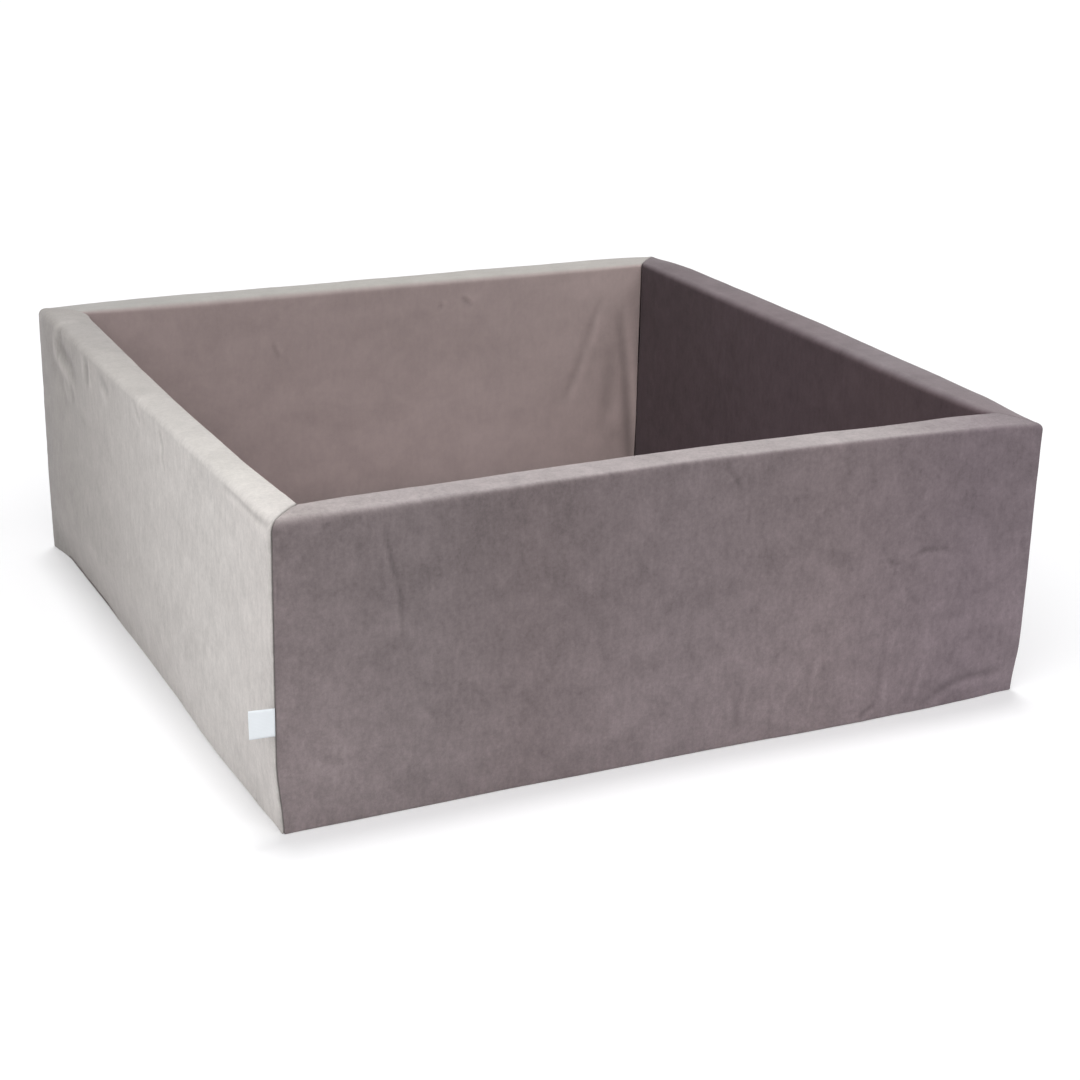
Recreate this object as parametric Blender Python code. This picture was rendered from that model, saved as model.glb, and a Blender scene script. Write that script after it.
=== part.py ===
"""A square foam ball pit: four foam walls in one velvet sleeve, a lift-out floor mat and two coil zips.

Metres. X runs along the front wall, Y away from it and Z up. The origin is on the floor, in the middle of
the ring. The walls stand on the sleeve's turned-under hems, and the mat lies loose between them.
"""
import math

import bmesh
import bpy
from mathutils import Matrix, Vector

# The ring of walls
PIT_WIDTH = 1.10            # outer face of the left wall to that of the right
PIT_DEPTH = 1.10            # outer face of the front wall to that of the back
PIT_HEIGHT = 0.404          # floor to the middle of a rim
WALL = 0.052                # a foam wall with velvet on both faces
RIM_RADIUS = 0.014          # rounding along both edges of a rim
RIM_DOME = 0.0012           # the rim's middle stands this much over its edges
HEEL_RADIUS = 0.004         # rounding where the velvet turns under at the floor
CORNER_DROP = 0.003         # the corner seams pull the ends of a rim down
FRONT_LEAN = 0.010          # the middle of the front rim bows into the pit
BACK_LEAN = 0.007           # and so does that of the back rim
SIDE_LEAN = -0.003          # the side rims bow outwards a little
NEAR_CORNER = 0.005         # upright corners, rounding outside: the front left one, with the tag
RIGHT_CORNER = 0.005
FAR_CORNER = 0.006
LEFT_CORNER = 0.005

# Cloth, hems and clearances
VELVET = 0.0017             # pile and backing together
SEAM_DEPTH = 0.0009         # how far the velvet's face rolls in at a corner seam
SEAM_GAP = 0.0003           # between two pieces sewn together
GAP = 0.0003                # between any two pieces that touch
HEM = 0.0036                # velvet folded double and stitched to a zip
LINING = 0.0016             # the mat's underside
INNER_FAN = 0.008           # along the inner face, where the cuts fan out round a corner

# The zips: a five millimetre coil chain, whose plane lies over the hems
TAPE = 0.0006               # thickness of a zip's tape
TAPE_WIDTH = 0.014          # from the chain's middle to a tape's outer edge
COIL_WIDTH = 0.0022         # from the chain's middle to the back of a coil
COIL_HEIGHT = 0.0024
COIL_PITCH = 0.005          # one drawn tooth stands for three turns of the real coil
TOOTH = 0.0009              # depth of a tooth
CHAIN_GAP = 0.0014          # between the two rows of teeth, where the slider's post runs
SLOT = 0.011                # between the two hems
RING_ZIP_START = 0.045      # from the near corner to the chain's two ends
RING_PARK = 0.080           # from the near corner to the parked slider
MAT_ZIP_INSET = 0.0672      # from each side of the mat to an end of its zip
MAT_ZIP_BACK = 0.130        # from the mat's front edge to its zip
MAT_ZIP_PARK = 0.032        # from the slot's end to the parked slider
SLIDER_LENGTH = 0.012
SLIDER_NOSE = 0.0088        # width at the end where the two halves come together
SLIDER_TAIL = 0.0072
SLIDER_PLATE = 0.0009
SLIDER_CLEAR = 0.00025      # between the slider and the coil
FLANGE = 0.0007             # thickness of the slider's side lips
POST_WIDTH = 0.0008
POST_LENGTH = 0.0032
BRIDGE_WIRE = 0.0006        # diameter of the loop that holds the pull tab
BRIDGE_SPAN = 0.0060
BRIDGE_ROOM = 0.0008        # between the slider's plate and that loop
PULL_LENGTH = 0.022
PULL_WIDTH = 0.0060
PULL_THICK = 0.00048
PULL_WINDOW = 0.0042        # length of the slot that the loop passes through
PULL_WINDOW_WIDTH = 0.0016
PULL_HOLE = 0.0030          # the round finger hole at the tab's free end

# The floor mat
MAT_CLEAR = 0.0008          # between the mat's corners and the walls
MAT_EASE = 0.0010           # the mat's sides draw in this much more than the rims lean
MAT_CORNER = 0.014
MAT_EDGE = 0.031            # floor to the seam round the mat's top
MAT_CROWN = 0.007           # the mat's middle over that seam

# The tag in the near corner's seam
TAG_WIDTH = 0.032
TAG_HEIGHT = 0.036
TAG_THICK = 0.0010          # satin folded double
TAG_FOLD = 0.0003           # between the two layers
TAG_BOTTOM = 0.135          # floor to the tag's lower edge

OVERRUN = 0.002             # how far a cutter passes the face that it cuts

# Shares of a half length, of a height or of a crown
MIDDLE_SHARES = (-0.62, -0.42, -0.21, 0.0, 0.21, 0.42, 0.62)
FACE_SHARES = (0.30, 0.58, 0.80)
MAT_RING_SHARES = (1.0, 0.988, 0.96, 0.86, 0.62, 0.30)
MAT_CROWN_SHARES = (0.0, 0.38, 0.56, 0.78, 0.95, 1.0)
MAT_SIDE_SHARES = (-1.0, -0.66, -0.33, 0.0, 0.33, 0.66, 1.0)
ARC_STEPS = 4
CORNER_STEPS = 2

# Heights that the zips share
TAPE_LOW = HEM + GAP
CHAIN_Z = TAPE_LOW + TAPE / 2
FOAM_FLOOR = TAPE_LOW + TAPE + GAP
SLIDER_INSIDE = COIL_HEIGHT / 2 + SLIDER_CLEAR
SLIDER_OUTSIDE = SLIDER_INSIDE + SLIDER_PLATE
GROOVE_TOP = CHAIN_Z + SLIDER_OUTSIDE + GAP
GROOVE_WIDTH = SLIDER_NOSE + 4 * GAP
LIP = (WALL - SLOT) / 2
PULL_Z = CHAIN_Z - SLIDER_OUTSIDE - BRIDGE_ROOM / 2
SKIN = VELVET + GAP
MAT_ZIP_TEETH = round((PIT_WIDTH - 2 * (WALL + MAT_CLEAR + MAT_ZIP_INSET)) / COIL_PITCH)
MAT_ZIP_REACH = MAT_ZIP_TEETH * COIL_PITCH / 2

COLOURS = {
    "velvet_left": (0.46, 0.43, 0.41),
    "velvet_front": (0.20, 0.165, 0.17),
    "velvet_back": (0.25, 0.215, 0.21),
    "velvet_right": (0.13, 0.10, 0.105),
    "velvet_mat": (0.24, 0.20, 0.20),
    "foam": (0.80, 0.78, 0.72),
    "lining": (0.16, 0.14, 0.15),
    "zip_tape": (0.22, 0.18, 0.19),
    "zip_metal": (0.55, 0.55, 0.56),
    "satin": (0.85, 0.87, 0.88),
}


def clear_scene():
    """Empties the file and makes one collection for the pit and one for its cutters."""
    for old in list(bpy.data.objects):
        bpy.data.objects.remove(old)
    made = []
    for name in ("ball_pit", "cutters"):
        group = bpy.data.collections.new(name)
        bpy.context.scene.collection.children.link(group)
        made.append(group)
    return made


def make_materials():
    """One Principled material for each finish."""
    finishes = {}
    for name, colour in COLOURS.items():
        finish = bpy.data.materials.new(name)
        finish.use_nodes = True
        shader = finish.node_tree.nodes["Principled BSDF"]
        shader.inputs["Base Color"].default_value = (*colour, 1.0)
        shader.inputs["Metallic"].default_value = 1.0 if name == "zip_metal" else 0.0
        shader.inputs["Roughness"].default_value = 0.35 if name in ("zip_metal", "satin") else 0.9
        finishes[name] = finish
    return finishes


PIT, CUTTERS = clear_scene()
FINISH = make_materials()


def add_object(name, mesh, finish):
    """Puts a mesh into the pit's collection as one named piece."""
    piece = bpy.data.objects.new(name, mesh)
    piece.data.materials.clear()
    piece.data.materials.append(FINISH[finish])
    PIT.objects.link(piece)
    return piece


def mesh_from(name, bm):
    """Ends a bmesh: faces out, smooth but for its sharp edges."""
    bmesh.ops.recalc_face_normals(bm, faces=bm.faces)
    mesh = bpy.data.meshes.new(name)
    bm.to_mesh(mesh)
    bm.free()
    mesh.shade_smooth()
    mesh.set_sharp_from_angle(angle=math.radians(35))
    return mesh


def loft(name, loops, closed=False):
    """A solid through a row of like loops, with flat ends unless the row closes on itself.

    Each quad is split along its shorter diagonal, so that nested skins keep their gap where they twist.
    """
    bm = bmesh.new()
    rings = [[bm.verts.new(point) for point in loop] for loop in loops]
    pairs = list(zip(rings, rings[1:]))
    if closed:
        pairs.append((rings[-1], rings[0]))
    else:
        bm.faces.new(rings[0])
        bm.faces.new(rings[-1])
    for near, far in pairs:
        for i in range(len(near)):
            j = (i + 1) % len(near)
            if (near[i].co - far[j].co).length <= (near[j].co - far[i].co).length:
                bm.faces.new((near[i], near[j], far[j]))
                bm.faces.new((near[i], far[j], far[i]))
            else:
                bm.faces.new((near[i], near[j], far[i]))
                bm.faces.new((near[j], far[j], far[i]))
    return mesh_from(name, bm)


def box(name, low, high):
    """A closed box between two corners."""
    bm = bmesh.new()
    bmesh.ops.create_cube(bm, size=1.0)
    low, high = Vector(low), Vector(high)
    size = Matrix.Diagonal((*(high - low), 1.0))
    bmesh.ops.transform(bm, matrix=Matrix.Translation((low + high) / 2) @ size, verts=bm.verts)
    return mesh_from(name, bm)


def curve_mesh(name, curve):
    """The closed mesh of a curve, with its caps welded on."""
    guide = bpy.data.objects.new(name, curve)
    CUTTERS.objects.link(guide)
    bpy.context.view_layer.update()
    mesh = bpy.data.meshes.new_from_object(guide.evaluated_get(bpy.context.evaluated_depsgraph_get()))
    bm = bmesh.new()
    bm.from_mesh(mesh)
    bmesh.ops.remove_doubles(bm, verts=bm.verts, dist=1e-6)
    bpy.data.objects.remove(guide)
    bpy.data.meshes.remove(mesh)
    return mesh_from(name, bm)


def plate(name, outlines, low, high):
    """A flat plate between two heights: the first outline is its edge and the others are holes."""
    curve = bpy.data.curves.new(name, "CURVE")
    curve.dimensions = "2D"
    curve.fill_mode = "BOTH"
    curve.extrude = (high - low) / 2
    for outline in outlines:
        spline = curve.splines.new("POLY")
        spline.points.add(len(outline) - 1)
        for point, (x, y) in zip(spline.points, outline):
            point.co = (x, y, 0.0, 1.0)
        spline.use_cyclic_u = True
    mesh = curve_mesh(name, curve)
    mesh.transform(Matrix.Translation((0.0, 0.0, (low + high) / 2)))
    return mesh


def prism(name, outline, low, high):
    """An upright prism on an outline of many points."""
    bm = bmesh.new()
    face = bm.faces.new([bm.verts.new((x, y, low)) for x, y in outline])
    raised = bmesh.ops.extrude_face_region(bm, geom=[face])["geom"]
    top = [part for part in raised if isinstance(part, bmesh.types.BMVert)]
    bmesh.ops.translate(bm, verts=top, vec=(0.0, 0.0, high - low))
    return mesh_from(name, bm)


def wire(name, points, diameter):
    """A round wire through a list of points."""
    curve = bpy.data.curves.new(name, "CURVE")
    curve.dimensions = "3D"
    curve.bevel_depth = diameter / 2
    curve.bevel_resolution = 2
    curve.use_fill_caps = True
    spline = curve.splines.new("POLY")
    spline.points.add(len(points) - 1)
    for target, point in zip(spline.points, points):
        target.co = (*point, 1.0)
    return curve_mesh(name, curve)


def cut(piece, mesh, operation="DIFFERENCE"):
    """Cuts a mesh from a piece, or joins it on, by a Boolean that stays on the piece."""
    tool = bpy.data.objects.new(piece.name + "_" + mesh.name, mesh)
    tool.matrix_world = piece.matrix_world
    tool.hide_render = True
    tool.display_type = "WIRE"
    CUTTERS.objects.link(tool)
    step = piece.modifiers.new(mesh.name, "BOOLEAN")
    step.operation = operation
    step.solver = "EXACT"
    step.object = tool


def arc(centre, radius, start, end, steps):
    """Points of an arc in a plane, angles in degrees, both ends included."""
    points = []
    for i in range(steps + 1):
        angle = math.radians(start + (end - start) * i / steps)
        points.append((centre[0] + radius * math.cos(angle), centre[1] + radius * math.sin(angle)))
    return points


# The walls. Each is made along X, with its outer face at y = 0 and the pit at +Y, and then turned into place.

def bow(along, half):
    """How much of its bow a clamped wall shows at a place along it: none at its corners, all in the middle."""
    share = min(abs(along) / (half - WALL), 1.0)
    return (1.0 - share ** 2) ** 2


def end_cuts(half, radius):
    """Upright cuts through a wall's end, from the mitre inwards: outer point, inner point, outer normal."""
    shift = Vector((SEAM_GAP / math.sqrt(2), 0.0))
    cuts = []
    for step in range(CORNER_STEPS + 1):
        share = step / CORNER_STEPS
        angle = math.radians(45) * (1.0 - share)
        normal = Vector((-math.sin(angle), -math.cos(angle)))
        outer = Vector((radius - half, radius)) + radius * normal
        inner = Vector((WALL + INNER_FAN * share - half, WALL))
        cuts.append((outer + shift * (1.0 - share), inner + shift * (1.0 - share), normal))
    straight = Vector((0.0, -1.0))
    cuts.append((Vector((WALL - half, 0.0)), Vector((1.5 * WALL - half, WALL)), straight))
    cuts.append((Vector((2 * WALL - half, 0.0)), Vector((2 * WALL - half, WALL)), straight))
    return cuts


def wall_cuts(half, first_radius, last_radius):
    """All the cuts of a wall, from its first corner to its last."""
    first = end_cuts(half, first_radius)
    flip = Matrix(((-1.0, 0.0), (0.0, 1.0)))
    last = [tuple(flip @ part for part in cut_line) for cut_line in end_cuts(half, last_radius)]
    straight = Vector((0.0, -1.0))
    middle = [(Vector((s * half, 0.0)), Vector((s * half, WALL)), straight) for s in MIDDLE_SHARES]
    return first + middle + last[::-1]


def face_path(inset):
    """One half of a wall's section, up its face and round to the rim: (depth from the face, height)."""
    radius = RIM_RADIUS - inset
    shoulder = PIT_HEIGHT - RIM_DOME - inset
    rise = [(inset, share * PIT_HEIGHT) for share in FACE_SHARES]
    return rise + arc((RIM_RADIUS, shoulder - radius), radius, 180, 90, ARC_STEPS)


def heel_path(inset):
    """The velvet's turn at the floor, from the hem's edge to the upright face."""
    turn = arc((HEEL_RADIUS, HEEL_RADIUS), HEEL_RADIUS, 270, 180, 2)
    return [(LIP, 0.0)] + [(depth + inset, height) for depth, height in turn]


def place_section(cut_line, outer_half, inner_half, crest, half, lean):
    """Lays both halves of a section and the rim's crest on a cut, and bows the wall."""
    outer, inner, normal = cut_line
    length = (inner - outer).length
    line = (inner - outer) / length
    outer_stretch = 1.0 / abs(line.dot(normal))
    inner_stretch = 1.0 / abs(line.y)
    spots = [(depth * outer_stretch, height) for depth, height in outer_half]
    if crest:
        spots.append((length / 2, crest))
    spots += [(length - depth * inner_stretch, height) for depth, height in reversed(inner_half)]
    loop = []
    for across, height in spots:
        place = outer + line * across
        rise = (height / PIT_HEIGHT) ** 2
        swell = bow(place.x, half)
        drop = CORNER_DROP * (1.0 - swell) * rise
        loop.append((place.x, place.y + lean * swell * rise, height - drop))
    return loop


def cover_mesh(name, half, lean, first_radius, last_radius):
    """One wall's velvet: a strip up the outer face, over the rim, down inside and turned under at both edges."""
    cuts = wall_cuts(half, first_radius, last_radius)
    loops = []
    for i, cut_line in enumerate(cuts):
        inset = SEAM_DEPTH if i in (0, len(cuts) - 1) else 0.0
        shape = heel_path(inset) + face_path(inset)
        lining = [(LIP, HEM), (VELVET, HEM)] + face_path(VELVET)
        loop = place_section(cut_line, shape, shape, PIT_HEIGHT - inset, half, lean)
        back = place_section(cut_line, lining, lining, PIT_HEIGHT - VELVET, half, lean)
        loops.append(loop + back[::-1])
    return loft(name, loops)


def foam_mesh(name, half, lean, first_radius, last_radius):
    """One wall's foam slab, mitred at its ends, with the groove that the zip's slider runs in."""
    loops = []
    for cut_line in wall_cuts(half, first_radius, last_radius):
        shape = [(SKIN, FOAM_FLOOR)] + face_path(SKIN)
        loop = place_section(cut_line, shape, shape, PIT_HEIGHT - SKIN, half, lean)
        near = (WALL - GROOVE_WIDTH) / 2
        groove = [(near, FOAM_FLOOR), (near, GROOVE_TOP)]
        loop += place_section(cut_line, groove, groove, None, half, lean)[::-1]
        loops.append(loop)
    return loft(name, loops)


WALLS = (
    ("front", PIT_WIDTH, PIT_DEPTH, FRONT_LEAN, NEAR_CORNER, RIGHT_CORNER),
    ("right", PIT_DEPTH, PIT_WIDTH, SIDE_LEAN, RIGHT_CORNER, FAR_CORNER),
    ("back", PIT_WIDTH, PIT_DEPTH, BACK_LEAN, FAR_CORNER, LEFT_CORNER),
    ("left", PIT_DEPTH, PIT_WIDTH, SIDE_LEAN, LEFT_CORNER, NEAR_CORNER),
)


def make_walls():
    """The four foam walls and their covers, each turned a quarter further round the ring."""
    for quarter, (side, length, across, lean, first, last) in enumerate(WALLS):
        turn = Matrix.Rotation(math.radians(90) * quarter, 4, "Z")
        place = turn @ Matrix.Translation((0.0, -across / 2, 0.0))
        slab = add_object("foam_" + side, foam_mesh("foam_" + side, length / 2, lean, first, last), "foam")
        cover = cover_mesh("cover_" + side, length / 2, lean, first, last)
        sleeve = add_object("cover_" + side, cover, "velvet_" + side)
        slab.matrix_world = place
        sleeve.matrix_world = place


def ring_stringer(name, side):
    """Half of the ring's zip: a tape with its coil, run round under all four walls and mitred at the corners.

    side is 1 for the half nearer the outer faces and -1 for the other.
    """
    inner = CHAIN_GAP / 2
    low, high = CHAIN_Z - COIL_HEIGHT / 2, CHAIN_Z + COIL_HEIGHT / 2
    section = [(inner, low), (COIL_WIDTH, low), (COIL_WIDTH, TAPE_LOW), (TAPE_WIDTH, TAPE_LOW)]
    section += [(TAPE_WIDTH, TAPE_LOW + TAPE), (COIL_WIDTH, TAPE_LOW + TAPE), (COIL_WIDTH, high), (inner, high)]
    x_half, y_half = (PIT_WIDTH - WALL) / 2, (PIT_DEPTH - WALL) / 2
    start_x, end_y = RING_ZIP_START - PIT_WIDTH / 2, RING_ZIP_START - PIT_DEPTH / 2
    loops = []
    for corner in range(5):
        loop = []
        for offset, height in section:
            x, y = x_half + side * offset, y_half + side * offset
            spots = ((start_x, -y), (x, -y), (x, y), (-x, y), (-x, end_y))
            loop.append((*spots[corner], height))
        loops.append(loop)
    return add_object(name, loft(name, loops), "zip_tape")


def toothed_stringer(name, side, middle):
    """Half of the mat's zip: a straight tape and a coil whose teeth face the chain's middle."""
    reach = MAT_ZIP_REACH
    crest, valley = CHAIN_GAP / 2, CHAIN_GAP / 2 + TOOTH
    edge = []
    for i in range(MAT_ZIP_TEETH):
        start = i * COIL_PITCH - reach
        edge.append((start, valley))
        edge.append((start + COIL_PITCH / 2, crest))
    edge += [(reach, valley), (reach, COIL_WIDTH), (-reach, COIL_WIDTH)]
    outline = [(x, side * y) for x, y in edge]
    coil = prism("coil", outline, CHAIN_Z - COIL_HEIGHT / 2, CHAIN_Z + COIL_HEIGHT / 2)
    ends = sorted((side * (valley + COIL_WIDTH) / 2, side * TAPE_WIDTH))
    tape = box(name, (-reach, ends[0], TAPE_LOW), (reach, ends[1], TAPE_LOW + TAPE))
    half = add_object(name, tape, "zip_tape")
    half.location.y = middle
    bpy.context.view_layer.update()
    cut(half, coil, "UNION")
    return half


def slider_meshes():
    """The parts of a slider body, about the middle of its length: two plates, side lips, post and loop."""
    half, nose, tail = SLIDER_LENGTH / 2, SLIDER_NOSE / 2, SLIDER_TAIL / 2
    shoulder = half - (nose - tail)
    outline = [(-shoulder, -tail), (0.0, -tail), (shoulder, -nose), (half, -tail)]
    outline += [(half, tail), (shoulder, nose), (0.0, tail), (-shoulder, tail), (-half, tail / 2), (-half, -tail / 2)]
    low, high = CHAIN_Z - SLIDER_OUTSIDE, CHAIN_Z + SLIDER_OUTSIDE
    lower = prism("lower_plate", outline, low, low + SLIDER_PLATE)
    upper = prism("upper_plate", outline, high - SLIDER_PLATE, high)
    shift = half - POST_LENGTH
    post_outline = [(shift - POST_LENGTH / 2, 0.0), (shift, -POST_WIDTH / 2)]
    post_outline += [(shift + POST_LENGTH / 2, 0.0), (shift, POST_WIDTH / 2)]
    root = SLIDER_PLATE / 2
    tools = [upper, prism("post", post_outline, low + root, high - root)]
    inner = COIL_WIDTH + SLIDER_CLEAR
    for side in (-1, 1):
        ys = sorted((side * inner, side * (inner + FLANGE)))
        tape_high = TAPE_LOW + TAPE + SLIDER_CLEAR
        tools.append(box("flange", (-shoulder, ys[0], low + root), (shoulder, ys[1], TAPE_LOW - SLIDER_CLEAR)))
        tools.append(box("flange", (-shoulder, ys[0], tape_high), (shoulder, ys[1], high - root)))
    span, wire_z = BRIDGE_SPAN / 2, low - BRIDGE_ROOM - BRIDGE_WIRE / 2
    knee = span - BRIDGE_WIRE
    loop = [(-span, 0.0, low + root), (-span, 0.0, low - BRIDGE_ROOM / 2), (-knee, 0.0, wire_z)]
    loop += [(knee, 0.0, wire_z), (span, 0.0, low - BRIDGE_ROOM / 2), (span, 0.0, low + root)]
    tools.append(wire("loop", loop, BRIDGE_WIRE))
    return lower, tools


def pull_mesh(name):
    """A pull tab: its bar on the hinge axis, a slot for the slider's loop and a finger hole."""
    bar, half = PULL_THICK / 2, PULL_WIDTH / 2
    round_x = PULL_LENGTH - half
    outline = [(-bar, -half * 0.6), (-bar, half * 0.6)]
    outline += [(PULL_WINDOW, half * 0.6)] + arc((round_x, 0.0), half, 90, -90, 8) + [(PULL_WINDOW, -half * 0.6)]
    slot = PULL_WINDOW_WIDTH / 2
    window = [(bar, -slot), (PULL_WINDOW, -slot), (PULL_WINDOW, slot), (bar, slot)]
    hole = arc((round_x, 0.0), PULL_HOLE / 2, 0, 360 - 360 / 8, 7)
    return plate(name, [outline, window, hole], -bar, bar)


def make_slider(prefix, x, y):
    """A slider body and its pull tab, with the tab's origin on its hinge."""
    body_mesh, tools = slider_meshes()
    body_mesh.name = prefix + "_slider"
    body = add_object(prefix + "_slider", body_mesh, "zip_metal")
    body.location = (x, y, 0.0)
    bpy.context.view_layer.update()
    for tool in tools:
        cut(body, tool, "UNION")
    tab = add_object(prefix + "_pull", pull_mesh(prefix + "_pull"), "zip_metal")
    tab.location = (x, y, PULL_Z)


def mat_outline(inset):
    """The mat's edge in plan, drawn in along its sides, `inset` inside the velvet."""
    x_half = PIT_WIDTH / 2 - WALL - MAT_CLEAR
    y_half = PIT_DEPTH / 2 - WALL - MAT_CLEAR
    radius = MAT_CORNER - inset
    sides = (
        (x_half, y_half, max(FRONT_LEAN, 0.0)),
        (y_half, x_half, max(SIDE_LEAN, 0.0)),
        (x_half, y_half, max(BACK_LEAN, 0.0)),
        (y_half, x_half, max(SIDE_LEAN, 0.0)),
    )
    points = []
    for quarter, (along, across, lean) in enumerate(sides):
        turn = Matrix.Rotation(math.radians(90) * quarter, 2)
        reach = along - MAT_CORNER
        side = []
        for share in MAT_SIDE_SHARES:
            draw = (lean + MAT_EASE) * (1.0 - share ** 2) ** 2
            side.append((share * reach, inset + draw - across))
        side += arc((reach, MAT_CORNER - across), radius, -90, 0, 3)[1:-1]
        points += [tuple(turn @ Vector(point)) for point in side]
    return points


def mat_rings(inset, base):
    """Rings of a mat's crowned face, from its edge inwards, over the height `base`."""
    outline = mat_outline(inset)
    rings = []
    for share, crown in zip(MAT_RING_SHARES, MAT_CROWN_SHARES):
        rings.append([(x * share, y * share, base + MAT_CROWN * crown) for x, y in outline])
    return rings


def make_mat():
    """The mat's foam core, crowned top, border and hemmed base, and the zip in the base."""
    top_low = MAT_EDGE + GAP
    upper = mat_rings(0.0, top_low + VELVET)
    lower = mat_rings(0.0, top_low)
    add_object("mat_top", loft("mat_top", upper[::-1] + lower), "velvet_mat")
    faces = zip(mat_outline(0.0), mat_outline(VELVET))
    strip = [[(*out, LINING + GAP), (*out, MAT_EDGE), (*into, MAT_EDGE), (*into, LINING + GAP)] for out, into in faces]
    add_object("mat_border", loft("mat_border", strip, closed=True), "velvet_mat")
    core_rings = mat_rings(SKIN, MAT_EDGE)
    floor = [(x, y, LINING + GAP) for x, y in mat_outline(SKIN)]
    core = add_object("mat_foam", loft("mat_foam", core_rings[::-1] + [floor]), "foam")
    base = add_object("mat_base", plate("mat_base", [mat_outline(0.0)], 0.0, LINING), "lining")
    middle = MAT_ZIP_BACK + WALL + MAT_CLEAR - PIT_DEPTH / 2
    reach, slot = MAT_ZIP_REACH, SLOT / 2
    edge = TAPE_WIDTH + GAP
    hem_box = box("hem", (-reach - slot, middle - TAPE_WIDTH, LINING / 2), (reach + slot, middle + TAPE_WIDTH, HEM))
    cut(base, hem_box, "UNION")
    cut(base, box("slot", (-reach, middle - slot, -OVERRUN), (reach, middle + slot, HEM + OVERRUN)))
    wide, groove = reach + slot + GAP, GROOVE_WIDTH / 2
    cut(core, box("channel", (-wide, middle - edge, -OVERRUN), (wide, middle + edge, FOAM_FLOOR)))
    cut(core, box("groove", (-reach, middle - groove, -OVERRUN), (reach, middle + groove, GROOVE_TOP)))
    toothed_stringer("mat_zip_front", -1, middle)
    toothed_stringer("mat_zip_back", 1, middle)
    make_slider("mat_zip", MAT_ZIP_PARK - reach, middle)


def make_tag():
    """The folded satin tag, standing out of the near corner's seam along the front wall's plane."""
    seam = NEAR_CORNER * (1.0 - math.cos(math.radians(45)))
    face = seam - GAP - PIT_DEPTH / 2
    edge = seam - PIT_WIDTH / 2 + GAP
    layer = (TAG_THICK - TAG_FOLD) / 2
    fold = TAG_THICK / 2
    far = edge - TAG_WIDTH
    outline = [(edge, face), (far + fold, face)]
    outline += arc((far + fold, face - fold), fold, 90, 270, 4)[1:-1]
    outline += [(far + fold, face - TAG_THICK), (edge, face - TAG_THICK), (edge, face - TAG_THICK + layer)]
    outline += [(far + fold, face - TAG_THICK + layer), (far + fold, face - layer), (edge, face - layer)]
    add_object("sewn_tag", plate("sewn_tag", [outline], TAG_BOTTOM, TAG_BOTTOM + TAG_HEIGHT), "satin")


make_walls()
ring_stringer("wall_zip_outer", 1)
ring_stringer("wall_zip_inner", -1)
make_slider("wall_zip", RING_PARK - PIT_WIDTH / 2, (WALL - PIT_DEPTH) / 2)
make_mat()
make_tag()
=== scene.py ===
"""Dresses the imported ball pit: velvet walls with rolled seams, a velvet floor mat, zips and a bare tag.

Metres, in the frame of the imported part: X along the front wall, Y away from it, Z up, origin on the floor.
"""
import math

import bmesh
import bpy
import numpy as np
from mathutils import Matrix, Vector, noise


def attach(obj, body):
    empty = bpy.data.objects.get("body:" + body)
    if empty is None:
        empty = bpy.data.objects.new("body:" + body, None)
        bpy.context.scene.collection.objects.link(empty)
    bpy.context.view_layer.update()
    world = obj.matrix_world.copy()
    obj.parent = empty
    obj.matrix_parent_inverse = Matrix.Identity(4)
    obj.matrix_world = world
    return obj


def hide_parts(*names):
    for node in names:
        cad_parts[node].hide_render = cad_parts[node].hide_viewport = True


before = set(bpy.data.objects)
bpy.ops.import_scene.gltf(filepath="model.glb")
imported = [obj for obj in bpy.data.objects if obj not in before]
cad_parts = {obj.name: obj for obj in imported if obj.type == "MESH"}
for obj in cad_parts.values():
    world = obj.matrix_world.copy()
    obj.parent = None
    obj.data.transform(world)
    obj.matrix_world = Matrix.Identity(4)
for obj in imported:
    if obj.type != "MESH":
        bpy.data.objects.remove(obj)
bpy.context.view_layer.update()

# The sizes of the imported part
PIT = 1.10                  # the ring's width and depth at the floor
HEIGHT = 0.404              # of the rims over the floor
WALL = 0.052                # a wall's thickness, its velvet included
RIM_DOME = 0.0012           # how much higher the middle of a rim is than its edges
HEEL = 0.004                # rounding where the velvet turns under at the floor
HEM = 0.0036                # thickness of the folded hem
SLOT = 0.011                # between two hems, over a zip
LIP = (WALL - SLOT) / 2     # from a wall's face to the edge of its hem
FOAM_FLOOR = 0.0048         # underside of the foam
GROOVE_TOP = 0.00685        # top of the groove that a slider runs in
GROOVE = 0.010              # its width
TAPE_LOW, TAPE_HIGH = 0.0039, 0.0045
TAPE_EDGE = 0.0115          # from a wall's face to where the hem ends over the tape
TAPE_WIDTH = 0.014          # from the middle of a zip's chain to the tape's outer edge
CHAIN_Z = 0.0042            # height of a zip's coils
CHAIN_HALF = 0.0007         # from the chain's middle to the coils' inner edges
COIL_WIDTH = 0.0022         # from the chain's middle to the coils' outer edges
COIL_HALF = 0.0012          # half of a coil's thickness
TAPE_START = COIL_WIDTH * 0.8  # from the chain's middle to the tape's inner edge, under the coil
ZIP_START = 0.045           # from the tagged corner to both ends of the ring's zip
SEAM_HALF = 0.00015         # from a sewn edge to the plane of its seam
MAT_CLEAR = 0.0008          # between the mat and the walls
MAT_CORNER = 0.014          # rounding of the mat's corners
MAT_EDGE = 0.031            # height of the mat's upper seam
MAT_CROWN = 0.007           # how much higher the middle of the mat is
MAT_DRAW = (0.011, 0.001, 0.008, 0.001)  # how far the mat's front, right, back and left side draw in
MAT_ZIP_Y = -0.3672         # the mat's zip, and half of its length
MAT_ZIP_HALF = 0.430
LINING = 0.0016             # thickness of the panel under the mat

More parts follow.
